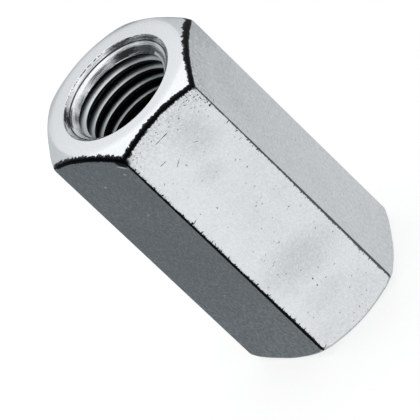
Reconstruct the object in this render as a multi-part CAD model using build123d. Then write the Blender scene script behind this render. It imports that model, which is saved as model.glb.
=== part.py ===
from build123d import *
from build123d.topology import SkipClean
import math
import os

# Driving dimensions of the bar and its ends, in millimetres and degrees
across_flats = 45.2
nut_length = 90.0
corner_radius = 0.7
end_face_diameter = 43.0
end_chamfer_angle = 30.0
countersink_diameter = 33.6
countersink_angle = 90.0

# Driving dimensions of the thread, a right-hand metric coarse one
thread_diameter = 30.0
thread_pitch = 3.5
thread_angle = 60.0
thread_start_angle = 91.0

# How far the thread is cut in from each mouth; half the nut's length taps it right through
tapped_length = 17.5

# How far a cutting shape runs past the metal that it cuts
cutter_overrun = 2.0

# Sizes that follow from the ones above
flank_slope = math.tan(math.radians(thread_angle / 2))
sharp_thread_height = thread_pitch / 2 / flank_slope
thread_depth = sharp_thread_height * 5 / 8
minor_diameter = thread_diameter - 2 * thread_depth
root_flat = thread_pitch / 8
corner_reach = across_flats / math.sqrt(3)
quarter_turn = 90


def hexagon_bar():
    """The drawn hexagon bar, sawn square, with its long edges slightly round."""
    outline = RegularPolygon(across_flats / 2, 6, major_radius=False)
    bar = extrude(outline, nut_length)
    return fillet(bar.edges().filter_by(Axis.Z), corner_radius)


def turned_envelope():
    """A turned body with a cone at each end, which chamfers the bar's six corners."""
    face_radius = end_face_diameter / 2
    outer_radius = corner_reach + cutter_overrun
    cone_height = (outer_radius - face_radius) * math.tan(math.radians(end_chamfer_angle))
    profile = Polyline(
        (0, 0, 0),
        (face_radius, 0, 0),
        (outer_radius, 0, cone_height),
        (outer_radius, 0, nut_length - cone_height),
        (face_radius, 0, nut_length),
        (0, 0, nut_length),
        close=True,
    )
    return revolve(make_face(profile), Axis.Z)


def hole_quarters():
    """The drilled hole with a countersink at each mouth, in quarters that leave four seams."""
    hole_radius = minor_diameter / 2
    cone_slope = math.tan(math.radians(countersink_angle / 2))
    cone_depth = (countersink_diameter / 2 - hole_radius) / cone_slope
    mouth_radius = countersink_diameter / 2 + cutter_overrun * cone_slope
    profile = Polyline(
        (0, 0, -cutter_overrun),
        (mouth_radius, 0, -cutter_overrun),
        (hole_radius, 0, cone_depth),
        (hole_radius, 0, nut_length - cone_depth),
        (mouth_radius, 0, nut_length + cutter_overrun),
        (0, 0, nut_length + cutter_overrun),
        close=True,
    )
    quarter = revolve(make_face(profile), Axis.Z, revolution_arc=quarter_turn)
    return [Rot(0, 0, turn * quarter_turn) * quarter for turn in range(4)]


def groove_turns():
    """The groove that the tap cuts in from both ends, one turn at a time, in step as one thread."""
    root_radius = thread_diameter / 2
    inner_radius = minor_diameter / 2 - thread_depth / 4
    root_half = root_flat / 2
    mouth_half = root_half + (root_radius - inner_radius) * flank_slope
    section = make_face(
        Polyline(
            (root_radius, 0, -root_half),
            (root_radius, 0, root_half),
            (inner_radius, 0, mouth_half),
            (inner_radius, 0, -mouth_half),
            close=True,
        )
    )
    path = Edge.make_helix(thread_pitch, thread_pitch, root_radius)
    one_turn = Rot(0, 0, thread_start_angle) * sweep(section, path, is_frenet=True)
    turns_in = math.ceil(tapped_length / thread_pitch)
    last_turn = math.ceil(nut_length / thread_pitch)
    lower_turns = range(-1, turns_in)
    upper_turns = range(last_turn - turns_in, last_turn + 1)
    turns = sorted({*lower_turns, *upper_turns})
    return [Pos(0, 0, turn * thread_pitch) * one_turn for turn in turns]


def coupling_nut():
    """One piece: the chamfered bar, drilled and countersunk, then tapped from both ends."""
    nut = hexagon_bar() & turned_envelope()
    with SkipClean():
        for cutter in hole_quarters() + groove_turns():
            nut = nut - cutter
    return nut.solid()


os.makedirs("parts", exist_ok=True)
export_step(coupling_nut(), "parts/coupling_nut.step")
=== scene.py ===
import math
import bpy
from mathutils import Matrix, Vector, noise


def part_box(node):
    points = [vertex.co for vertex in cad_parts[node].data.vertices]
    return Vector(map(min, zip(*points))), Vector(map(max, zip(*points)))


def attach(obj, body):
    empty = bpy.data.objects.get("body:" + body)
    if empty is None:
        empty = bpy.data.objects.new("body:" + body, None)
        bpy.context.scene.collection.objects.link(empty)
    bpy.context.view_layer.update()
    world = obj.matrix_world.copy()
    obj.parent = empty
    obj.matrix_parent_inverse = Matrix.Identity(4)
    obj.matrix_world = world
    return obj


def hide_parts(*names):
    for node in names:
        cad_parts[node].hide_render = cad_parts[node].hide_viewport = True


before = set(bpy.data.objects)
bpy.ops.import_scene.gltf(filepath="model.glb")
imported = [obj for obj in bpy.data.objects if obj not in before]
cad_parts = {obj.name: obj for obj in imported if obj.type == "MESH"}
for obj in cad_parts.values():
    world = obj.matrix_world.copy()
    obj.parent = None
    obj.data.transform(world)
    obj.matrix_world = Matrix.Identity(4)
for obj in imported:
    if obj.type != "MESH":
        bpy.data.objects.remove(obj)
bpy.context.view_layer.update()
nodeLow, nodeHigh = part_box("coupling_nut")
print("frame loaded")

mm = 0.001  # every size below is in millimetres and degrees, as on a drawing

# The long hexagon nut. Its length and width across flats come from the frame.
nut = {
    "length": (nodeHigh.z - nodeLow.z) / mm,
    "acrossFlats": (nodeHigh.y - nodeLow.y) / mm,
    "cornerRadius": 0.7,
    "endFaceRadius": 21.5,
    "chamferAngle": 30.0,
    "softEdgeRadius": 19.0,  # the end face starts to fall away here
    "softEdgeDrop": 0.22,  # and is this much lower where the chamfer starts
    "burrWidth": 0.75,  # how far the rolled edge along each arc reaches
    "burrSpread": 0.14,  # how uneven that rolled edge is
    "burrLayers": [(0.45, 1.0), (1.3, 0.7), (2.9, 0.5)],  # fineness and weight of its unevenness
    "burrLeast": 0.3,
    "burrMost": 0.55,  # as a share of the chamfer's width
    "endsApart": 40.0,  # keeps the unevenness of the two ends apart
    "cornerRoll": 0.9,  # how much further it reaches at the six corners
    "cornerRadii": (24.9, 26.0),  # the radii between which that sets in
    "flatSteps": 60,  # columns across one flat
    "cornerSteps": 8,  # columns round one long edge
    "ringSteps": 4,  # rows across the flat ring
    "faceSteps": 6,  # rows over the soft edge of the end face
    "chamferSteps": 2,  # rows down the chamfer
    "burrSteps": 8,  # rows over the rolled edge
    "sideRows": 44,
    "waviness": 0.03,  # how far the drawn flats wander
    "waveFineness": 0.11,
    "waveLengthwise": 0.5,  # the waves are longer along the nut than across it
    "waveRadii": (20.0, 22.0),  # the radii between which they set in
    "frontWithin": (0.45, 0.12),  # how far past a long edge the front flat's marks reach
    "sharpAngle": 24.0,  # an edge stays sharp where its faces meet at more than this
}

# The tapped hole: a countersink with a chatter ring, then a right-hand thread
hole = {
    "mouthRadius": 16.8,
    "mouthEdge": 0.1,
    "crestRadius": 13.106,
    "rootRadius": 15.0,
    "pitch": 3.5,
    "rootFlat": 3.5 / 8,
    "crestFlat": 3.5 / 4,
    "flankAngle": 60.0,  # between a flank and the hole's axis
    "crestEdge": 0.12,  # how far the worn edge of a crest reaches up its flank
    "crestWear": 0.045,  # and along the crest
    "startAngle": 91.0,  # where the groove crosses the nut's lower end
    # depth from the end face and radius along the countersink, outside in
    "countersink": [(0.0, 16.8), (1.1, 15.7), (1.18, 15.57), (1.87, 14.54), (3.7, 13.106)],
    "ringRows": [0.4, 0.8, 1.1, 1.18, 1.5, 1.87],
    "turnsAbove": 2,  # spare turns of the thread past the upper end
    "turnsBelow": 4,  # and past the lower one
    "joinWithin": 0.02,  # what lies this near to a ring or to the cone belongs to it
}
flatZone, endZone, mouthZone, threadZone = range(4)  # in the order of the materials


def addObject(name, data):
    thing = bpy.data.objects.new(name, data)
    bpy.context.scene.collection.objects.link(thing)
    return thing


def smoothStep(low, high, value):
    share = min(1.0, max(0.0, (value - low) / (high - low)))
    return share * share * (3 - 2 * share)


def curveThrough(start, corner, end, steps):
    # a soft corner between two straight runs, start and end included
    points = []
    for step in range(steps + 1):
        u = step / steps
        points.append(start * (1 - u) ** 2 + corner * 2 * u * (1 - u) + end * u * u)
    return points


def hexagonColumns():
    # angle and radius of each upright line of the outline, round corners included
    apothem = nut["acrossFlats"] / 2
    cornerCentre = (apothem - nut["cornerRadius"]) / math.cos(math.radians(30))
    flatHalf = (apothem - nut["cornerRadius"]) * math.tan(math.radians(30))
    points = []
    for side in range(6):
        faceAngle = math.radians(30 + 60 * side)
        along = Vector((-math.sin(faceAngle), math.cos(faceAngle)))
        out = Vector((math.cos(faceAngle), math.sin(faceAngle)))
        for step in range(nut["flatSteps"]):
            place = -flatHalf + 2 * flatHalf * step / nut["flatSteps"]
            points.append(out * apothem + along * place)
        cornerAngle = faceAngle + math.radians(30)
        centre = Vector((math.cos(cornerAngle), math.sin(cornerAngle))) * cornerCentre
        for step in range(nut["cornerSteps"]):
            turn = faceAngle + math.radians(60) * step / nut["cornerSteps"]
            points.append(centre + Vector((math.cos(turn), math.sin(turn))) * nut["cornerRadius"])
    columns = [(math.atan2(p.y, p.x) % (2 * math.pi), p.length) for p in points]
    return sorted(columns)


def outerProfile(angle, radius, end):
    # the end face, its soft edge, the chamfer and the rolled edge of one column, at one end
    slant = math.radians(nut["chamferAngle"])
    inward = Vector((-math.cos(slant), math.sin(slant)))
    top = nut["length"] / 2
    softStart = Vector((nut["softEdgeRadius"], top))
    softEnd = Vector((nut["endFaceRadius"], top - nut["softEdgeDrop"]))
    arcEdge = Vector((radius, top - (radius - nut["endFaceRadius"]) * math.tan(slant)))
    place = Vector((math.cos(angle) * radius, math.sin(angle) * radius, nut["endsApart"] * end))
    uneven = sum(weight * noise.noise(place * fineness) for fineness, weight in nut["burrLayers"])
    reach = nut["burrWidth"] + nut["burrSpread"] * uneven
    reach = min(max(reach, nut["burrLeast"]), (radius - nut["endFaceRadius"]) * nut["burrMost"])
    reach += nut["cornerRoll"] * smoothStep(*nut["cornerRadii"], radius)
    inner = hole["mouthRadius"] + hole["mouthEdge"]
    flatWidth = softStart.x - inner
    ring = range(nut["ringSteps"])
    points = [Vector((inner + flatWidth * step / nut["ringSteps"], top)) for step in ring]
    softCorner = Vector(((softStart.x + softEnd.x) / 2, top))
    points += curveThrough(softStart, softCorner, softEnd, nut["faceSteps"])
    outerStart = arcEdge + inward * reach
    chamfer = range(1, nut["chamferSteps"] + 1)
    points += [softEnd.lerp(outerStart, step / (nut["chamferSteps"] + 1)) for step in chamfer]
    points += curveThrough(outerStart, arcEdge, arcEdge - Vector((0, reach)), nut["burrSteps"])
    return points


def sideHeights():
    # rows down the flats, closer together near both ends, as shares of the way
    rows = nut["sideRows"]
    return [0.5 - 0.5 * math.cos(math.pi * (row + 1) / (rows + 1)) for row in range(rows)]


def outerGrid(columns):
    # one list of points for each column, from the upper mouth over the side to the lower one
    middle = nut["length"] / 2
    shares = sideHeights()
    grid = []
    for angle, radius in columns:
        profile = [Vector((p.x, middle + p.y)) for p in outerProfile(angle, radius, 1)]
        bottom = [Vector((p.x, middle - p.y)) for p in reversed(outerProfile(angle, radius, -1))]
        profile += [profile[-1].lerp(bottom[0], share) for share in shares]
        profile += bottom
        around = Vector((math.cos(angle), math.sin(angle)))
        line = []
        for point in profile:
            spot = Vector((around.x * point.x, around.y * point.x, point.y))
            wave = Vector((spot.x, spot.y, spot.z * nut["waveLengthwise"])) * nut["waveFineness"]
            wander = 0.5 + 0.5 * noise.noise(wave)
            near = smoothStep(*nut["waveRadii"], point.x)
            shrink = 1 - nut["waviness"] * wander * near / max(point.x, 1)
            line.append(Vector((spot.x * shrink, spot.y * shrink, spot.z)))
        grid.append(line)
    return grid


def countersinkRadius(depth):
    steps = hole["countersink"]
    for (upper, wide), (lower, narrow) in zip(steps, steps[1:]):
        if depth <= lower:
            return wide + (narrow - wide) * max(0.0, depth - upper) / (lower - upper)
    return 0.0


def threadRows():
    # distance below the groove's middle and radius, for the rows of one turn
    halfRoot = hole["rootFlat"] / 2
    halfCrest = hole["crestFlat"] / 2
    pitch = hole["pitch"]
    edge = hole["crestEdge"]
    slope = math.tan(math.radians(hole["flankAngle"]))
    crest = hole["crestRadius"]
    upper = [
        (halfRoot, hole["rootRadius"]),
        ((halfRoot + pitch / 2 - halfCrest) / 2, (hole["rootRadius"] + crest) / 2),
        (pitch / 2 - halfCrest - edge / 2, crest + edge / 2 * slope),
        (pitch / 2 - halfCrest + hole["crestWear"], crest),
    ]
    return upper + [(pitch - below, radius) for below, radius in reversed(upper)]


def holeColumn(angle, firstTurn, lastTurn):
    # height and radius of the points down one line of the thread, with sharp places kept sharp
    length = nut["length"]
    rows = threadRows()
    turnStart = hole["pitch"] * (angle - math.radians(hole["startAngle"])) / (2 * math.pi)
    points = []
    for turn in range(firstTurn, lastTurn, -1):
        for below, radius in rows:
            points.append([turnStart + turn * hole["pitch"] - below, radius])
    threadOnly = [p[1] for p in points]
    for point in points:
        depth = min(point[0], length - point[0])
        point[1] = max(point[1], countersinkRadius(max(depth, 0.0)))
    fixed = set()
    # where the thread runs out into the countersink, the nearest row moves to the crossing
    for row in range(len(points) - 1):
        heights = [points[row][0], points[row + 1][0]]
        depths = [min(z, length - z) for z in heights]
        if min(depths) < 0 or min(depths) > hole["countersink"][-1][0]:
            continue
        gaps = [threadOnly[row + i] - countersinkRadius(depths[i]) for i in (0, 1)]
        if gaps[0] * gaps[1] < 0:
            share = gaps[0] / (gaps[0] - gaps[1])
            height = heights[0] + (heights[1] - heights[0]) * share
            radius = threadOnly[row] + (threadOnly[row + 1] - threadOnly[row]) * share
            moved = row if share < 0.5 else row + 1
            if moved not in fixed:
                points[moved] = [height, radius]
                fixed.add(moved)
    return points


def buildNutMesh():
    columns = hexagonColumns()
    outer = outerGrid(columns)
    inner = [columns[index][0] for index in range(0, len(columns), 2)]
    points, faces, zones = [], [], []

    def addPoint(angle, radius, height):
        points.append((math.cos(angle) * radius * mm, math.sin(angle) * radius * mm, height * mm))
        return len(points) - 1

    def addFace(corners, zone):
        kept = [c for i, c in enumerate(corners) if c != corners[i - 1]]
        if len(set(kept)) >= 3:
            faces.append(kept)
            zones.append(zone)

    # outside: a grid of columns and rows
    profileSize = len(outer[0])
    outerIds = []
    for line in outer:
        outerIds.append(range(len(points), len(points) + profileSize))
        points += [tuple(point * mm) for point in line]
    # the turned end reaches to the middle of the rolled edge
    endRows = nut["ringSteps"] + nut["faceSteps"] + nut["chamferSteps"] + 1 + nut["burrSteps"] // 2
    for j in range(len(outer)):
        here, there = outerIds[j], outerIds[(j + 1) % len(outer)]
        for row in range(profileSize - 1):
            fromEnd = min(row, profileSize - 2 - row)
            zone = endZone if fromEnd < endRows else flatZone
            addFace([here[row], here[row + 1], there[row + 1], there[row]], zone)

    # the mouths: rings from the end face down the outer part of the countersink
    count = len(inner)
    length = nut["length"]
    ringIds = {}
    for end in (1, -1):
        rings = []
        for depth in [hole["mouthEdge"]] + hole["ringRows"]:
            height = length - depth if end == 1 else depth
            rings.append([addPoint(angle, countersinkRadius(depth), height) for angle in inner])
        ringIds[end] = rings[-1]
        edge = 0 if end == 1 else profileSize - 1
        for j in range(count):
            a, b, c = (outerIds[(2 * j + step) % len(outer)][edge] for step in (0, 1, 2))
            near, far = rings[0][j], rings[0][(j + 1) % count]
            for corners in ([a, b, near], [b, c, far], [near, b, far]):
                addFace(corners if end == 1 else corners[::-1], endZone)
            for upper, lower in zip(rings, rings[1:]):
                corners = [upper[j], upper[(j + 1) % count], lower[(j + 1) % count], lower[j]]
                addFace(corners if end == 1 else corners[::-1], mouthZone)

    # the thread: rows follow the helix, so a full turn ends one pitch higher
    firstTurn = math.ceil(length / hole["pitch"]) + hole["turnsAbove"]
    perTurn = len(threadRows())
    ringEdge = hole["ringRows"][-1] + hole["joinWithin"]
    threadIds = []
    for j, angle in enumerate(inner):
        ids = []
        for height, radius in holeColumn(angle, firstTurn, -hole["turnsBelow"]):
            if height > length - ringEdge:
                ids.append(ringIds[1][j])
            elif height <= ringEdge:
                ids.append(ringIds[-1][j])
            else:
                ids.append(addPoint(angle, radius, height))
        threadIds.append(ids)
    steep = hole["countersink"][-1][0]
    for j in range(count):
        here, there = threadIds[j], threadIds[(j + 1) % count]
        back = perTurn if j == count - 1 else 0
        for row in range(len(here) - 1):
            upperRow, lowerRow = max(row - back, 0), max(row + 1 - back, 0)
            corners = [here[row], there[upperRow], there[lowerRow], here[row + 1]]
            heights = [points[c][2] / mm for c in corners]
            radii = [math.hypot(points[c][0], points[c][1]) / mm for c in corners]
            depths = [min(z, length - z) for z in heights]
            onCone = all(d < steep and abs(r - countersinkRadius(d)) < hole["joinWithin"]
                         for d, r in zip(depths, radii))
            addFace(corners, mouthZone if onCone else threadZone)
    return points, faces, zones


points, faces, zones = buildNutMesh()
mesh = bpy.data.meshes.new("hexBar")
mesh.from_pydata(points, [], faces)
mesh.validate()
nutBody = addObject("threaded_nut", mesh)
triangles = sum(len(polygon.vertices) - 2 for polygon in mesh.polygons)
print("nut mesh of", len(points), "points,", len(mesh.polygons), "faces and", triangles, "triangles")


def roundAndSharp(mesh, sharpAngle):
    # smooth shading, with an edge kept sharp where two faces meet at more than the angle
    normals = [p.normal.copy() for p in mesh.polygons]
    owners = {}
    for polygon in mesh.polygons:
        polygon.use_smooth = True
        for key in polygon.edge_keys:
            owners.setdefault(key, []).append(polygon.index)
    limit = math.cos(math.radians(sharpAngle))
    for edge in mesh.edges:
        pair = owners.get(edge.key, [])
        if len(pair) == 2 and normals[pair[0]].dot(normals[pair[1]]) < limit:
            edge.use_edge_sharp = True


roundAndSharp(mesh, nut["sharpAngle"])
for polygon, zone in zip(mesh.polygons, zones):
    polygon.material_index = zone


def newNode(tree, kind, values=None, **settings):
    # the values go to the node's named or numbered inputs
    node = tree.nodes.new(kind)
    for name, value in settings.items():
        setattr(node, name, value)
    for name, value in (values or {}).items():
        feed(tree, node.inputs[name], value)
    return node


def feed(tree, socket, value):
    if isinstance(value, bpy.types.NodeSocket):
        tree.links.new(value, socket)
    else:
        socket.default_value = value


def maths(tree, operation, *values):
    values = dict(enumerate(values))
    return newNode(tree, "ShaderNodeMath", values, operation=operation).outputs[0]


def vectors(tree, operation, *values):
    values = dict(enumerate(values))
    results = newNode(tree, "ShaderNodeVectorMath", values, operation=operation).outputs
    return results["Value"] if operation in ("DOT_PRODUCT", "LENGTH") else results[0]


def ramp(tree, value, fromLow, fromHigh, toLow=0.0, toHigh=1.0):
    values = dict(enumerate((value, fromLow, fromHigh, toLow, toHigh)))
    node = newNode(tree, "ShaderNodeMapRange", values, interpolation_type="SMOOTHSTEP")
    return node.outputs["Result"]


def blendColour(tree, share, first, second):
    values = {"Factor": share, 6: first, 7: second}
    return newNode(tree, "ShaderNodeMix", values, data_type="RGBA").outputs[2]


def noiseTexture(tree, place, scale, detail, roughness):
    values = {"Vector": place, "Scale": scale, "Detail": detail, "Roughness": roughness}
    return newNode(tree, "ShaderNodeTexNoise", values).outputs


def grainNoise(tree, place, scale, detail=3.0, roughness=0.65):
    return noiseTexture(tree, place, scale, detail, roughness)["Fac"]


def newGroup(name, given, results):
    # each input is given with its plain value, or with None for a place
    tree = bpy.data.node_groups.new(name, "ShaderNodeTree")
    for label, value in given.items():
        kind = "NodeSocketVector" if value is None else "NodeSocketFloat"
        socket = tree.interface.new_socket(name=label, in_out="INPUT", socket_type=kind)
        if value is not None:
            socket.default_value = value
    for label in results:
        kind = "NodeSocketVector" if label == "Place" else "NodeSocketFloat"
        tree.interface.new_socket(name=label, in_out="OUTPUT", socket_type=kind)
    start, finish = newNode(tree, "NodeGroupInput"), newNode(tree, "NodeGroupOutput")
    return tree, start.outputs, finish.inputs


def useGroup(tree, group, values):
    return newNode(tree, "ShaderNodeGroup", values, node_tree=group).outputs


def combine(tree, x, y):
    return newNode(tree, "ShaderNodeCombineXYZ", {"X": x, "Y": y}).outputs[0]


def chain(tree, operation, values):
    total = values[0]
    for value in values[1:]:
        total = maths(tree, operation, total, value)
    return total


def plus(tree, *values):
    return chain(tree, "ADD", values)


def times(tree, *values):
    return chain(tree, "MULTIPLY", values)


def largest(tree, *values):
    return chain(tree, "MAXIMUM", values)


def minus(tree, first, second):
    return maths(tree, "SUBTRACT", first, second)


def split(tree, vector):
    return newNode(tree, "ShaderNodeSeparateXYZ", {0: vector}).outputs


def towardsAngle(tree, place, angle):
    # how far a place lies from the axis in the direction of an angle
    turn = math.radians(angle)
    return vectors(tree, "DOT_PRODUCT", place, (math.cos(turn), math.sin(turn), 0.0))


def outTowards(tree, place, angle, start, full, least=0.0, most=1.0):
    # grows from least to most along the direction of an angle; start and full count from the flats
    half = nut["acrossFlats"] / 2
    return ramp(tree, towardsAngle(tree, place, angle), half + start, half + full, least, most)


def nutPlacesGroup():
    # where a point lies on the nut, in millimetres from its edges
    tree, _, results = newGroup(
        "nutPlaces", {}, ["Place", "Under Arc", "From Ridge", "Inside Flats", "Radius", "Depth",
                          "Height", "Around", "Facing Front"])
    coordinate = newNode(tree, "ShaderNodeTexCoord")
    place = vectors(tree, "MULTIPLY", coordinate.outputs["Object"], (1 / mm,) * 3)
    radius = vectors(tree, "LENGTH", vectors(tree, "MULTIPLY", place, (1.0, 1.0, 0.0)))
    sizes = [maths(tree, "ABSOLUTE", towardsAngle(tree, place, angle)) for angle in (30, 90, 150)]
    reach = largest(tree, *sizes)
    half, halfLength = nut["acrossFlats"] / 2, nut["length"] / 2
    squares = minus(tree, maths(tree, "POWER", radius, 2.0), maths(tree, "POWER", reach, 2.0))
    sideways = maths(tree, "SQRT", largest(tree, squares, 0.0))
    x, y, height = split(tree, place)
    depth = minus(tree, halfLength, maths(tree, "ABSOLUTE", minus(tree, height, halfLength)))
    chamferSlope = math.tan(math.radians(nut["chamferAngle"]))
    fall = times(tree, minus(tree, radius, nut["endFaceRadius"]), chamferSlope)
    found = {
        "Place": place,
        "Under Arc": minus(tree, depth, fall),
        "From Ridge": minus(tree, half * math.tan(math.radians(30)), sideways),
        "Inside Flats": minus(tree, half, reach),
        "Radius": radius,
        "Depth": depth,
        "Height": height,
        "Around": times(tree, maths(tree, "ARCTAN2", y, x), half),
        "Facing Front": ramp(tree, minus(tree, reach, sizes[1]), *nut["frontWithin"]),
    }
    for name, value in found.items():
        feed(tree, results[name], value)
    return tree


# What all torn dark edges share: partly grime and burr, and partly a painted dark reflection of the rolled
# edges. Levels are the noise's, between which something sets in, and then its least and its full share.
tornEdge = {
    "toothStretch": 0.3,  # below 1, so that the teeth point away from the edge
    "toothLevels": (0.33, 0.6),
    "sparseStep": 0.13,
    "patchFineness": 0.3,  # patches in which the band and its teeth are larger or smaller
    "patchTeeth": (0.35, 0.6, 0.5, 1.0),
    "patchBand": (0.25, 0.75, 0.86, 1.14),
    "tearFineness": 1.2,
    "speckFineness": 3.4,
    "speckLevels": (0.36, 0.56, 0.85, 1.0),
    "bandEdge": (-0.05, 0.08),  # how soft the band's rim is
    "furEdge": (-0.08, 0.12),  # and that of its teeth
}


def raggedEdgeGroup():
    # a torn dark band that follows an edge, with teeth that reach out of it: grime with painted dark
    # reflection
    tree, given, results = newGroup(
        "raggedEdge",
        {"Place": None, "Along": 0.0, "Distance": 1.0, "Width": 0.5, "Teeth": 0.5,
         "Tooth Size": 0.5, "Fray": 0.2, "Sparse": 0.0},
        ["Mask"])
    values = tornEdge
    place, distance, size = given["Place"], given["Distance"], given["Tooth Size"]
    along = maths(tree, "DIVIDE", given["Along"], size)
    out = maths(tree, "DIVIDE", times(tree, distance, values["toothStretch"]), size)
    fine = grainNoise(tree, combine(tree, along, out), 1.0, 2.0)
    coarse = grainNoise(tree, place, values["patchFineness"], 2.0, 0.6)
    fewer = times(tree, given["Sparse"], values["sparseStep"])
    fine = ramp(tree, minus(tree, fine, fewer), *values["toothLevels"])
    teeth = times(tree, fine, ramp(tree, coarse, *values["patchTeeth"]))
    band = times(tree, given["Width"], ramp(tree, coarse, *values["patchBand"]))
    torn = minus(tree, grainNoise(tree, place, values["tearFineness"], 3.0, 0.7), 0.5)
    band = plus(tree, band, times(tree, given["Fray"], torn))
    gap = minus(tree, band, distance)
    solid = ramp(tree, gap, *values["bandEdge"])
    gap = plus(tree, gap, times(tree, given["Teeth"], teeth))
    specks = grainNoise(tree, place, values["speckFineness"], 1.0, 0.6)
    fur = times(tree, ramp(tree, gap, *values["furEdge"]), ramp(tree, specks, *values["speckLevels"]))
    feed(tree, results["Mask"], largest(tree, solid, fur))
    return tree


# The shape of the pits, and how dark the faintest ones are
pitShape = {
    "stretch": (0.62, 1.0, 1.25),
    "bendFineness": 1.3,
    "rim": (1.0, 0.45),  # shares of a pit's size between which it sets in
    "faintest": 0.4,
}


def pittingGroup():
    # small dark pits, a little longer than wide, thick in some places and missing in others
    tree, given, results = newGroup(
        "pitting", {"Place": None, "Spacing": 0.8, "Size": 0.3, "Amount": 0.3}, ["Mask"])
    values = pitShape
    stretched = vectors(tree, "MULTIPLY", given["Place"], values["stretch"])
    scaled = newNode(tree, "ShaderNodeVectorMath", operation="SCALE", values={
        0: stretched, "Scale": maths(tree, "DIVIDE", 1.0, given["Spacing"])}).outputs[0]
    bend = noiseTexture(tree, scaled, values["bendFineness"], 2.0, 0.5)["Color"]
    bent = vectors(tree, "ADD", scaled, bend)
    cells = newNode(tree, "ShaderNodeTexVoronoi", {"Vector": bent, "Scale": 1.0}).outputs
    pick = newNode(tree, "ShaderNodeSeparateColor", {0: cells["Color"]}).outputs
    chosen = maths(tree, "LESS_THAN", pick[0], given["Amount"])
    size = times(tree, given["Size"], plus(tree, 0.5, pick[1]))
    dot = ramp(tree, maths(tree, "DIVIDE", cells["Distance"], size), *values["rim"])
    shade = plus(tree, values["faintest"], times(tree, pick[2], 1 - values["faintest"]))
    feed(tree, results["Mask"], times(tree, dot, times(tree, chosen, shade)))
    return tree


def flatMarksGroup(name, marks, core, reachOut, wobble):
    # marks listed one by one on the flats: solid within the share called core, gone at their rim
    tree, given, results = newGroup(name, {"Place": None}, ["Mask"])
    bend = noiseTexture(tree, given["Place"], markBend, 2.0, 0.5)["Color"]
    shift = vectors(tree, "SUBTRACT", bend, (0.5,) * 3)
    place = vectors(tree, "ADD", given["Place"], vectors(tree, "MULTIPLY", shift, (wobble,) * 3))
    total = 0.0
    listed = [(facing, *mark) for facing, places in marks.items() for mark in places]
    for facing, across, height, long, slant, wide, strength in listed:
        turn = math.radians(facing - 90)
        middle = Vector((across, nut["acrossFlats"] / 2, height))
        middle.rotate(Matrix.Rotation(turn, 3, "Z"))
        local = newNode(tree, "ShaderNodeMapping", vector_type="TEXTURE", values={
            "Vector": place, "Location": middle, "Rotation": (0.0, math.radians(-slant), turn),
            "Scale": (long / 2, reachOut, wide / 2)}).outputs[0]
        inside = ramp(tree, vectors(tree, "LENGTH", local), 1.0, core, 0.0, strength)
        total = largest(tree, total, inside)
    feed(tree, results["Mask"], total)
    return tree


markBend = 1.6  # fineness of the noise that bends the outlines of all marks below

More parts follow.
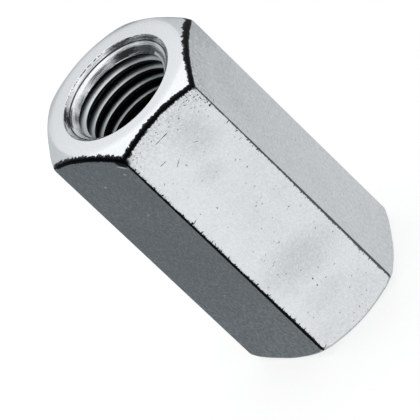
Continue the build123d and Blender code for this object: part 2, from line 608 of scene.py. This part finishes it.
# Scratches, nicks and pits by their flat: across, height, length, slant, width and strength
scratches = {
    90: [
        (3.4, 83.7, 2.4, 3, 0.26, 0.95), (1.3, 83.6, 2.9, 3, 0.3, 0.95), (6.5, 78.2, 2.6, 6, 0.24, 0.85),
        (3.7, 75.1, 3.1, -28, 0.22, 0.9), (10.2, 73.7, 1.4, -44, 0.18, 0.5),
        (-3.2, 75.5, 1.9, 36, 0.22, 0.75), (-12.4, 72.5, 1.3, -6, 0.3, 0.9),
        (-12.3, 68.7, 1.1, 26, 0.34, 0.85), (-11.6, 66.2, 1.3, 4, 0.22, 0.6),
        (-12.5, 64.4, 0.9, 72, 0.4, 0.8), (-12.4, 62.0, 1.1, -19, 0.28, 0.85),
        (-12.6, 60.3, 0.9, 57, 0.6, 1.0), (-12.5, 81.0, 0.9, -71, 0.4, 0.8),
        (-12.6, 79.8, 0.7, 0, 0.5, 0.9), (12.5, 75.1, 1.1, -60, 0.5, 1.0), (12.4, 72.0, 1.0, 60, 0.5, 1.0),
        (12.3, 59.5, 1.1, 72, 0.6, 1.0), (11.7, 59.3, 1.3, -23, 0.3, 0.9),
        (12.3, 50.1, 1.2, -40, 0.34, 1.0), (12.5, 48.9, 1.0, 57, 0.5, 1.0),
        (12.3, 44.3, 1.1, -41, 0.34, 0.9), (12.4, 35.7, 1.0, -45, 0.34, 0.9),
        (0.6, 36.2, 0.8, 0, 0.34, 0.8), (-1.7, 21.9, 0.7, 60, 0.36, 0.55), (1.3, 20.9, 1.0, -73, 0.44, 0.8),
        (-1.2, 18.1, 0.7, 8, 0.4, 0.7), (1.8, 18.5, 0.6, -60, 0.44, 0.75), (6.7, 35.6, 0.8, -25, 0.3, 0.4),
        (5.2, 33.1, 1.2, -18, 0.26, 0.45), (5.2, 57.2, 0.8, -75, 0.3, 0.6), (9.9, 85.2, 0.6, 60, 0.4, 0.7),
        (2.7, 72.8, 1.0, 79, 0.4, 0.5), (-6.6, 65.8, 0.5, 0, 0.4, 0.45), (-1.8, 4.1, 0.7, -80, 0.4, 0.6),
        (11.8, 3.6, 1.6, -10, 0.3, 0.7), (-11.0, 84.9, 0.9, 33, 0.3, 0.85), (-12.3, 85.6, 0.6, 0, 0.3, 0.8),
        (-12.0, 84.5, 0.6, 80, 0.4, 0.9), (-11.9, 83.3, 1.2, -84, 0.36, 0.85),
        (-12.2, 79.8, 0.9, -73, 0.6, 0.95), (-11.9, 81.4, 1.2, -88, 0.34, 0.75),
        (-12.8, 80.9, 0.5, -84, 0.3, 0.7), (-10.6, 86.0, 0.9, 67, 0.3, 0.7),
        (-10.9, 84.0, 0.6, -77, 0.3, 0.7), (-7.8, 85.3, 0.9, 69, 0.28, 0.6),
        (-4.5, 83.9, 0.9, -56, 0.3, 0.65), (-4.6, 84.8, 1.1, 43, 0.24, 0.55),
        (-3.4, 86.1, 0.8, 33, 0.26, 0.6), (-2.2, 81.9, 0.6, -6, 0.28, 0.6),
        (0.0, 87.1, 0.8, -72, 0.26, 0.6), (-3.7, 82.0, 1.0, 54, 0.24, 0.45),
    ],
    150: [
        (11.4, 79.0, 1.9, -13, 0.26, 0.75), (2.2, 68.5, 0.6, -60, 0.5, 0.5),
        (2.5, 66.7, 0.6, -60, 0.4, 0.45), (11.7, 59.4, 1.9, 72, 0.2, 0.35),
    ],
    30: [
        (-11.7, 86.7, 5.6, 24, 3.9, 1.0),
    ],
}

# Places where the plating is duller, and painted shade: the large ones darken most of the flats at 150 and
# 30, more towards their upper ends. Listed in the same way
dullAndShadedPlaces = {
    90: [
        (-14.0, 45.0, 40.0, 0, 140.0, 0.16), (-1.0, 42.0, 20.0, 0, 90.0, 0.16),
        (-2.0, 6.0, 60.0, 0, 36.0, 0.2), (-1.0, 28.0, 38.0, 12, 24.0, 0.52),
        (-4.0, 77.0, 20.0, 0, 26.0, 0.42), (2.0, 14.0, 24.0, 0, 16.0, 0.3),
        (-0.5, 66.0, 14.0, 20, 13.0, 0.34),
    ],
    # painted shade over most of this flat, darker towards its upper end
    150: [
        (-6.0, 102.0, 90.0, 0, 176.0, 0.38), (-16.0, 90.0, 42.0, 0, 52.0, 0.95),
    ],
    # painted shade over most of this flat
    30: [
        (-6.0, 106.0, 130.0, 0, 190.0, 0.45), (0.0, 50.0, 90.0, 0, 96.0, 0.4),
    ],
}

# Scuffs on the dark flat that scatter light
scuffs = {
    30: [
        (-9.0, 82.2, 1.3, 30, 0.9, 0.6), (1.9, 78.0, 1.2, 30, 0.9, 0.55), (-2.8, 65.3, 2.3, -20, 0.6, 0.3),
        (0.4, 29.6, 1.6, -70, 0.5, 0.4), (-10.5, 85.1, 4.8, 22, 0.75, 1.0),
    ],
}

nutPlaces = nutPlacesGroup()
raggedEdge = raggedEdgeGroup()
pitting = pittingGroup()
scratchMarks = flatMarksGroup("scratchMarks", scratches, core=0.55, reachOut=3.0, wobble=0.45)
dullAndShadeMarks = flatMarksGroup("dullAndShadeMarks", dullAndShadedPlaces, core=0.1, reachOut=1.2, wobble=4.0)
scuffMarks = flatMarksGroup("scuffMarks", scuffs, core=0.2, reachOut=1.0, wobble=0.4)
print("node groups built")


def emptyTree(owner):
    owner.use_nodes = True
    owner.node_tree.nodes.clear()
    return owner.node_tree


def newMaterial(name):
    material = bpy.data.materials.new(name)
    tree = emptyTree(material)
    shader = newNode(tree, "ShaderNodeBsdfPrincipled", {"Metallic": 1.0})
    newNode(tree, "ShaderNodeOutputMaterial", {"Surface": shader.outputs[0]})
    return material, tree, shader, useGroup(tree, nutPlaces, {})


def paint(tree, shader, colour, roughness, height):
    feed(tree, shader.inputs["Base Color"], colour)
    feed(tree, shader.inputs["Roughness"], roughness)
    bump = newNode(tree, "ShaderNodeBump", {"Height": height, "Distance": mm})
    feed(tree, shader.inputs["Normal"], bump.outputs[0])


# Heights between which the few marks of the lower end give way to the upper end's, and their share
markFade = (20.0, 60.0, 0.15, 1.0)


# Bright zinc on the drawn flats
flatFinish = {
    "zinc": (0.855, 0.885, 0.91, 1.0),
    "darkerZinc": (0.53, 0.549, 0.564, 1.0),
    # near black, for marks and for the painted dark reflection along the edges
    "darkMarkColour": (0.012, 0.013, 0.014, 1.0),
    "roughness": 0.2,
    "markRoughness": 0.3,  # how much rougher a dark mark is
    "scuffRoughness": 0.5,  # and a scuff
    "scuffDullness": 0.8,  # how much less a scuff is like metal
    "grainFineness": 1.7,
    "grainDulling": (0.3, 0.7, 0.0, 0.16),
    "grainDepth": 0.05,
    "cloudFineness": 0.09,
    "cloudDulling": (0.45, 0.75, 0.0, 0.15),
    "etchFineness": 1.5,
    "etchStretch": (1.0, 1.0, 0.7),
    "etchLevels": (0.36, 0.66),
    "etching": 0.2,  # how much the fine mottling dulls the plating
    "etchingNear": (12.0, 0.0, 0.0, 0.5),  # how much more it does so under the arcs
    "etchingSide": (1.0, 0.0, 0.0, 0.2),  # how much more on the four side flats
    "shadedFlat": 30.0,  # the flat that lies in the shade
    "etchingShaded": (-0.4, -0.1, 0.0, 0.75),  # how much more it is mottled, near its plane
    "markDepth": 0.03,
    "arcBand": 0.66,
    "arcTeeth": 0.3,
    "arcFray": 1.2,
    "ridgeReach": (0.5, 2.0),  # how far outside the flats a long edge counts as such
    "ridgeBand": 0.2,
    "ridgeTeeth": 0.4,
    "ridgeStrength": 0.6,
    "heavyRidge": 60.0,  # the long edge that was knocked about most, whose dark band is partly painted dark reflection
    "heavyBand": 0.4,
    "heavyGrowth": (100.0, 0.0, 0.35, 1.0),  # heights, and the share of that band there
    "heavyTeeth": 0.6,
    "secondRidge": 120.0,  # the edge that has such marks too, towards its lower end
    "secondBand": 0.3,
    "secondGrowth": (75.0, 25.0, 0.15, 1.0),
    "secondTeeth": 0.3,
    "secondStrength": 0.8,
    "ridgeFray": 0.5,
    "ridgeSparse": 1.25,  # 0 for teeth all along the long edges, 1 for a few
    "toothSize": 0.45,
    "pitSpacing": 0.5,
    "pitSize": 0.36,
    "pitStrength": 0.7,
    "pitAmount": 0.03,
    "pitAmountNear": (7.0, 0.0, 0.0, 0.5),  # how many more there are under the arcs
    "pitPatches": (0.35, 0.65, 0.2, 1.0),
    "patchFineness": 0.3,
    "pitCorner": 120.0,  # the corner with the thickest pits
    "pitCornerReach": (0.4, 2.6, 0.0, 0.6),
    "pitCornerHeights": (76.0, 85.0),
}


def drawnFlatMaterial():
    material, tree, shader, where = newMaterial("drawnFlat")
    values = flatFinish
    place, front = where["Place"], where["Facing Front"]
    grain = grainNoise(tree, place, values["grainFineness"])
    cloud = grainNoise(tree, place, values["cloudFineness"], 3.0, 0.55)
    # darker in the listed places, partly duller plating and partly painted shade, and in clouds and fine
    # grain
    darkening = plus(tree, useGroup(tree, dullAndShadeMarks, {"Place": place})["Mask"],
                ramp(tree, cloud, *values["cloudDulling"]), ramp(tree, grain, *values["grainDulling"]))
    upper = ramp(tree, where["Height"], *markFade)
    near = times(tree, ramp(tree, where["Under Arc"], *values["etchingNear"]), upper)
    etched = vectors(tree, "MULTIPLY", place, values["etchStretch"])
    etched = grainNoise(tree, etched, values["etchFineness"], 3.0, 0.75)
    etched = ramp(tree, etched, *values["etchLevels"])
    shaded = outTowards(tree, place, values["shadedFlat"], *values["etchingShaded"])
    etching = plus(tree, values["etching"], near,
                   ramp(tree, front, *values["etchingSide"]), shaded)
    darkening = plus(tree, darkening, times(tree, etched, etching))
    base = blendColour(tree, darkening, values["zinc"], values["darkerZinc"])

    # under each arc a dark band, partly grime and partly a painted dark reflection of the rolled edge
    arcMark = useGroup(tree, raggedEdge, {
        "Place": place, "Along": where["Around"], "Distance": where["Under Arc"],
        "Width": times(tree, upper, values["arcBand"]),
        "Teeth": times(tree, upper, values["arcTeeth"]), "Tooth Size": values["toothSize"],
        "Fray": times(tree, front, values["arcFray"])})["Mask"]
    heavy = outTowards(tree, place, values["heavyRidge"], *values["ridgeReach"])
    heavyFront = times(tree, heavy, front)
    heavyLow = ramp(tree, where["Height"], *values["heavyGrowth"])
    second = outTowards(tree, place, values["secondRidge"], *values["ridgeReach"])
    secondLow = ramp(tree, where["Height"], *values["secondGrowth"])
    secondFront = times(tree, second, secondLow, front)
    band = plus(tree, times(tree, heavyFront, heavyLow, values["heavyBand"]),
                times(tree, secondFront, values["secondBand"]))
    teeth = plus(tree, times(tree, heavyFront, values["heavyTeeth"]),
                 times(tree, secondFront, values["secondTeeth"]))
    # along the long edges dark bands, partly wear and partly a painted dark reflection of their rounded
    # edges
    ridgeMark = useGroup(tree, raggedEdge, {
        "Place": place, "Along": where["Height"], "Distance": where["From Ridge"],
        "Width": plus(tree, values["ridgeBand"], band),
        "Teeth": plus(tree, times(tree, front, values["ridgeTeeth"]), teeth),
        "Tooth Size": values["toothSize"], "Fray": times(tree, front, values["ridgeFray"]),
        "Sparse": values["ridgeSparse"]})["Mask"]
    secondStrength = times(tree, second, values["secondStrength"])
    strength = largest(tree, heavy, secondStrength, values["ridgeStrength"])
    ridgeMark = times(tree, ridgeMark, strength)

    near = times(tree, ramp(tree, where["Under Arc"], *values["pitAmountNear"]), upper)
    corner = times(tree, outTowards(tree, place, values["pitCorner"], *values["pitCornerReach"]),
                   ramp(tree, where["Height"], *values["pitCornerHeights"]))
    patches = grainNoise(tree, place, values["patchFineness"], 1.0, 0.5)
    patches = ramp(tree, patches, *values["pitPatches"])
    amount = plus(tree, values["pitAmount"], times(tree, near, patches), corner)
    pits = useGroup(tree, pitting, {"Place": place, "Spacing": values["pitSpacing"],
                                    "Size": values["pitSize"], "Amount": amount})["Mask"]
    strokes = useGroup(tree, scratchMarks, {"Place": place})["Mask"]
    marks = largest(tree, arcMark, ridgeMark, times(tree, pits, values["pitStrength"]), strokes)
    scuffed = useGroup(tree, scuffMarks, {"Place": place})["Mask"]
    metal = minus(tree, 1.0, times(tree, scuffed, values["scuffDullness"]))
    feed(tree, shader.inputs["Metallic"], metal)
    roughness = plus(tree, values["roughness"], times(tree, scuffed, values["scuffRoughness"]),
                     times(tree, marks, values["markRoughness"]))
    worn = times(tree, largest(tree, arcMark, ridgeMark), values["markDepth"])
    paint(tree, shader, blendColour(tree, marks, base, values["darkMarkColour"]), roughness,
          minus(tree, times(tree, grain, values["grainDepth"]), worn))
    return material


# The turned end face and chamfer
endFinish = {
    "zinc": (0.85, 0.885, 0.913, 1.0),
    "darkerZinc": (0.53, 0.549, 0.564, 1.0),
    # near black, for the band that is partly grime and partly painted dark reflection
    "darkMarkColour": (0.012, 0.013, 0.014, 1.0),
    "roughness": 0.2,
    "markRoughness": 0.3,  # how much rougher the dark band is
    "grainFineness": 1.6,
    "grainDulling": (0.3, 0.7, 0.0, 0.14),
    "grainDepth": 0.02,
    "backDarkening": (12.0, -16.0, 0.0, 0.26),  # the end face is darker towards its back
    "markDepth": 0.03,
    "turnedRings": 0.001,
    "ringFineness": 18.0,
    "band": 0.83,
    "backFade": (-3.0, 2.0, 0.1, 1.0),  # there is hardly a band on the back half
    "thinCorner": 0.0,  # the corner towards which the band thins
    "thinning": (-1.1, 2.9, 1.0, 0.35),  # distances that way, and the band's share there
    "wideCorner": 180.0,  # the corner towards which it widens
    "widening": (-8.6, -0.6, 1.0, 1.35),
    "teeth": 0.46,
    "frontTeeth": 0.3,  # the same over the front and back flats
    "fray": 1.5,
    "sparse": -0.9,  # below 0 for more teeth
    "toothSize": 0.28,
}


def turnedEndMaterial():
    material, tree, shader, where = newMaterial("turnedEnd")
    values = endFinish
    place = where["Place"]
    y = split(tree, place)["Y"]
    grain = grainNoise(tree, place, values["grainFineness"], 2.0, 0.7)
    darkening = plus(tree, ramp(tree, grain, *values["grainDulling"]), ramp(tree, y, *values["backDarkening"]))
    base = blendColour(tree, darkening, values["zinc"], values["darkerZinc"])
    upper = times(tree, ramp(tree, where["Height"], *markFade), ramp(tree, y, *values["backFade"]))
    thin = outTowards(tree, place, values["thinCorner"], *values["thinning"])
    wide = outTowards(tree, place, values["wideCorner"], *values["widening"])
    width = times(tree, thin, values["band"], wide)
    teeth = ramp(tree, where["Facing Front"], 0.0, 1.0, values["teeth"], values["frontTeeth"])
    # a dark band on the chamfer inside the flats, partly grime and partly a painted dark reflection of the
    # rolled edge, mostly on the front half
    mark = useGroup(tree, raggedEdge, {
        "Place": place, "Along": where["Around"], "Distance": where["Inside Flats"],
        "Width": times(tree, upper, width), "Teeth": times(tree, upper, teeth),
        "Tooth Size": values["toothSize"], "Fray": times(tree, upper, values["fray"]),
        "Sparse": values["sparse"]})["Mask"]
    rings = maths(tree, "SINE", times(tree, where["Radius"], values["ringFineness"]))
    height = minus(tree, times(tree, grain, values["grainDepth"]),
                   times(tree, mark, values["markDepth"]))
    paint(tree, shader, blendColour(tree, mark, base, values["darkMarkColour"]),
          plus(tree, values["roughness"], times(tree, mark, values["markRoughness"])),
          plus(tree, height, times(tree, rings, values["turnedRings"])))
    return material


# The countersink, with the rings that the cutter left
mouthFinish = {
    "zinc": (0.85, 0.87, 0.885, 1.0),
    "darkerZinc": (0.36, 0.37, 0.38, 1.0),
    "darkMarkColour": (0.02, 0.022, 0.024, 1.0),
    "roughness": 0.17,
    "dullRoughness": 0.1,  # how much rougher its dull rings are
    "grainFineness": 1.3,
    "grainDepth": 0.3,  # as a share of the rings' depth
    "ringSpacing": 0.3,
    "ringWander": (0.12, 0.12, 0.0),  # how fast a ring changes on its way round
    "ringShare": 0.75,  # how much of the dulling is the rings', the rest being the grain's
    "ringLevels": (0.5, 0.72),
    "ringDepth": 0.09,
    "blotchAngle": 331.0,  # the side of the mouth with dark blotches
    "blotchCosines": (0.955, 0.985, 0.0, 0.9),  # how far round they reach, and how dark they are
    "blotchRadii": (14.9, 15.3),
    "blotchLevels": (0.38, 0.5),
    "innerLine": 15.64,  # radius of the dark line where the cutter stepped
    "innerLineWidth": 0.17,
    "innerFineness": 0.5,
    "innerLevels": (0.3, 0.5, 0.75, 1.0),
    "outerLine": 16.66,  # radius of the broken dark line along the mouth
    "outerLineWidth": 0.16,
    "outerFineness": 0.8,
    "outerLevels": (0.44, 0.56),
}


def darkRing(tree, radius, line, width, broken):
    # a thin ring of the given radius, kept only where the noise called broken allows it
    away = maths(tree, "ABSOLUTE", minus(tree, radius, line))
    return times(tree, ramp(tree, away, width * 1.5, width * 0.5), broken)


def turnedMouthMaterial():
    material, tree, shader, where = newMaterial("turnedMouth")
    values = mouthFinish
    place, radius = where["Place"], where["Radius"]
    turned = vectors(tree, "MULTIPLY", place, values["ringWander"])
    ringPlace = combine(tree, maths(tree, "DIVIDE", radius, values["ringSpacing"]), 0.0)
    rings = grainNoise(tree, vectors(tree, "ADD", ringPlace, turned), 1.0, 3.0, 0.7)
    grain = grainNoise(tree, place, values["grainFineness"], 2.0, 0.7)
    both = plus(tree, times(tree, rings, values["ringShare"]),
                times(tree, grain, 1 - values["ringShare"]))
    share = ramp(tree, both, *values["ringLevels"])
    base = blendColour(tree, share, values["zinc"], values["darkerZinc"])
    cosine = maths(tree, "DIVIDE", towardsAngle(tree, place, values["blotchAngle"]), radius)
    blotch = times(tree, ramp(tree, cosine, *values["blotchCosines"]),
                   ramp(tree, radius, *values["blotchRadii"]),
                   ramp(tree, both, *values["blotchLevels"]))
    broken = grainNoise(tree, place, values["outerFineness"], 3.0, 0.7)
    steady = grainNoise(tree, place, values["innerFineness"], 2.0, 0.6)
    inner = darkRing(tree, radius, values["innerLine"], values["innerLineWidth"],
                     ramp(tree, steady, *values["innerLevels"]))
    outer = darkRing(tree, radius, values["outerLine"], values["outerLineWidth"],
                     ramp(tree, broken, *values["outerLevels"]))
    dark = largest(tree, inner, outer, blotch)
    height = plus(tree, rings, times(tree, grain, values["grainDepth"]))
    paint(tree, shader, blendColour(tree, dark, base, values["darkMarkColour"]),
          plus(tree, values["roughness"], times(tree, share, values["dullRoughness"])),
          times(tree, height, values["ringDepth"]))
    return material


# The tapped thread, with painted shade in its groove and further down in the hole, and a painted dark
# reflection on its crests' flats
threadFinish = {
    "crest": (0.86, 0.91, 0.925, 1.0),
    # the colour of the painted shade
    "groove": (0.035, 0.037, 0.04, 1.0),
    "roughness": 0.36,
    "grainRoughness": 0.1,
    "grainFineness": 1.4,
    "grainDepth": 0.02,
    # how far beyond the crests the groove is fully dark: depths, and the reach at each
    "grooveReach": (4.0, 17.0, 2.1, 0.75),
    "mouthFade": (1.5, 3.4, 0.45, 1.0),  # depths, and how much of that darkness there is
    "firstEdge": (4.2, 3.4, 0.0, 0.5),  # depths, and how dark the painted shade at the countersink's edge gets
    "crestLine": (0.07, 0.01, 0.0, 0.9),  # heights over the crests' flats, and how dark the painted dark reflection on them is
    "lightFade": (4.0, 27.0, 0.0, 0.9),  # depths between which the light fades, and how much
}


def tappedThreadMaterial():
    material, tree, shader, where = newMaterial("tappedThread")
    values = threadFinish
    depth, aboveCrest = where["Depth"], minus(tree, where["Radius"], hole["crestRadius"])
    # painted shade: dark in the groove, and more so deeper in the hole
    groove = ramp(tree, aboveCrest, 0.0, ramp(tree, depth, *values["grooveReach"]))
    dark = largest(tree, times(tree, groove, ramp(tree, depth, *values["mouthFade"])),
                   ramp(tree, depth, *values["lightFade"]),
                   ramp(tree, aboveCrest, *values["crestLine"]),
                   ramp(tree, depth, *values["firstEdge"]))
    grain = grainNoise(tree, where["Place"], values["grainFineness"])
    paint(tree, shader, blendColour(tree, dark, values["crest"], values["groove"]),
          plus(tree, values["roughness"], times(tree, grain, values["grainRoughness"])),
          times(tree, grain, values["grainDepth"]))
    return material


for make in (drawnFlatMaterial, turnedEndMaterial, turnedMouthMaterial, tappedThreadMaterial):
    mesh.materials.append(make())
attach(nutBody, "root")
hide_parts("coupling_nut")
print("materials built")

# The studio: a white sweep, and the panels that bright metal mirrors
studio = {
    "floorRadius": 2500.0,
    "floorSides": 64,
    "floorGap": 0.02,
    "floorColour": (0.36, 0.36, 0.36, 1.0),
    "floorGlow": 0.76,
    "fillLevel": 0.64,
    "levels": (-0.4, 0.5, 0.6, 0.68),  # below and above the horizon, and the level at each
    "shadeTint": (0.9, 0.99, 1.045, 1.0),  # the colour of the studio's dark parts
    "tintLevels": (0.1, 0.9),  # the levels between which that colour gives way to white
    "lampPower": 2.2,
    "lampSize": 900.0,
    "lampPlace": (100.0, -200.0, 1300.0),
}

# azimuth, elevation, half width, softness and brightness of each panel, laid one over the other
panels = [
    (0, 90, 44, 16, 1.14),  # overhead, in the chamfer and the thread's edges
    (-92, 33, 13, 7, 0.905),  # in the end face
    (-88, 58, 14, 5, 1.15),  # in its soft edge
    (25, -5, 44, 14, 0.015),  # the dark side of the studio
    (32, -4, 22, 8, 0.2),  # less dark where the sides hidden in the photograph mirror it
    (90, 24, 30, 10, 0.01),  # dark in front, above what the middle flat mirrors
    (160, 22, 18, 6, 0.16),  # in the steep part of the countersink, on the left
    (152, -33, 13, 8, 0.22),  # the grey line between the two light flats
    (14, 38, 26, 8, 0.02),  # in the countersink's upper part
    (-30, 12, 22, 8, 0.06),  # in its right part
    (203, 20, 10, 6, 0.03),  # in its left part
    (245, -12, 14, 9, 0.1),  # in its lower part
    (92, -34, 17, 9, 0.955),  # in the middle flat
    (-28, -33, 17, 10, 0.222),  # in the dark flat
    (212, -33, 21, 10, 0.7),  # in the right-hand flat
    (56, -33, 12, 8, 0.01),  # the black line between the dark flat and the middle one
]


def panelAxis(azimuth, elevation):
    a, e = math.radians(azimuth), math.radians(elevation)
    return Vector((math.cos(a) * math.cos(e), math.sin(a) * math.cos(e), math.sin(e)))


def buildWorld():
    world = bpy.data.worlds.new("studioWorld")
    bpy.context.scene.world = world
    tree = emptyTree(world)
    coordinate = newNode(tree, "ShaderNodeTexCoord")
    direction = vectors(tree, "NORMALIZE", coordinate.outputs["Generated"])
    level = ramp(tree, split(tree, direction)["Z"], *studio["levels"])
    for azimuth, elevation, halfWidth, softness, brightness in panels:
        facing = vectors(tree, "DOT_PRODUCT", direction, tuple(panelAxis(azimuth, elevation)))
        outerEdge = math.cos(math.radians(halfWidth + softness))
        innerEdge = math.cos(math.radians(max(halfWidth - softness, 0)))
        mask = ramp(tree, facing, outerEdge, innerEdge)
        level = plus(tree, times(tree, level, minus(tree, 1.0, mask)), times(tree, mask, brightness))
    rays = newNode(tree, "ShaderNodeLightPath").outputs
    fill = studio["fillLevel"]
    seen = largest(tree, rays["Is Camera Ray"], rays["Is Transmission Ray"])
    plain = plus(tree, fill, times(tree, seen, 1 - fill))
    glossy = times(tree, rays["Is Glossy Ray"], minus(tree, 1.0, seen))
    mixed = plus(tree, times(tree, plain, minus(tree, 1.0, glossy)), times(tree, level, glossy))
    tinted = ramp(tree, mixed, *studio["tintLevels"])
    colour = blendColour(tree, tinted, studio["shadeTint"], (1.0, 1.0, 1.0, 1.0))
    background = newNode(tree, "ShaderNodeBackground", {"Strength": mixed, "Color": colour})
    newNode(tree, "ShaderNodeOutputWorld", {"Surface": background.outputs[0]})


def buildFloor():
    radius = studio["floorRadius"] * mm
    steps = studio["floorSides"]
    turns = [2 * math.pi * i / steps for i in range(steps)]
    corners = [(math.cos(turn) * radius, math.sin(turn) * radius, 0.0) for turn in turns]
    floorMesh = bpy.data.meshes.new("floor")
    floorMesh.from_pydata(corners, [], [list(range(steps))])
    floor = addObject("floor", floorMesh)
    floor.location.z = nodeLow.z - studio["floorGap"] * mm
    material = bpy.data.materials.new("floorWhite")
    tree = emptyTree(material)
    diffuse = newNode(tree, "ShaderNodeBsdfDiffuse", {"Color": studio["floorColour"]})
    glow = newNode(tree, "ShaderNodeEmission", {"Strength": studio["floorGlow"]})
    both = newNode(tree, "ShaderNodeAddShader", {0: diffuse.outputs[0], 1: glow.outputs[0]})
    newNode(tree, "ShaderNodeOutputMaterial", {"Surface": both.outputs[0]})
    floorMesh.materials.append(material)
    floor.visible_glossy = False


def buildLamp():
    light = bpy.data.lights.new("softLamp", "AREA")
    light.shape = "DISK"
    light.size = studio["lampSize"] * mm
    light.energy = studio["lampPower"]
    lamp = addObject("softLamp", light)
    lamp.location = Vector(studio["lampPlace"]) * mm
    lamp.rotation_euler = (-lamp.location).to_track_quat("-Z", "Y").to_euler()
    lamp.visible_glossy = False
    lamp.visible_camera = False


# The camera looks down on the standing nut, turned on its side as in the photograph
cameraView = {
    "azimuth": 87.84,
    "elevation": 33.41,
    "roll": -46.41,
    "distance": 1517.0,
    "aim": (5.99, 0.52, 43.87),
    "lens": 504.2,
    "sensor": 36.0,
    "farthest": 20000.0,
}


def buildCamera():
    camera = bpy.data.cameras.new("photoCamera")
    camera.lens = cameraView["lens"]
    camera.sensor_width = cameraView["sensor"]
    camera.clip_end = cameraView["farthest"] * mm
    cameraObject = addObject("photoCamera", camera)
    towards = panelAxis(cameraView["azimuth"], cameraView["elevation"])
    place = Vector(cameraView["aim"]) * mm + towards * cameraView["distance"] * mm
    level = towards.to_track_quat("Z", "Y").to_matrix()
    turned = level @ Matrix.Rotation(math.radians(cameraView["roll"]), 3, "Z")
    cameraObject.matrix_world = Matrix.Translation(place) @ turned.to_4x4()
    bpy.context.scene.camera = cameraObject


buildWorld()
buildFloor()
buildLamp()
buildCamera()
bpy.context.scene.view_settings.view_transform = "Standard"
print("studio and camera placed")
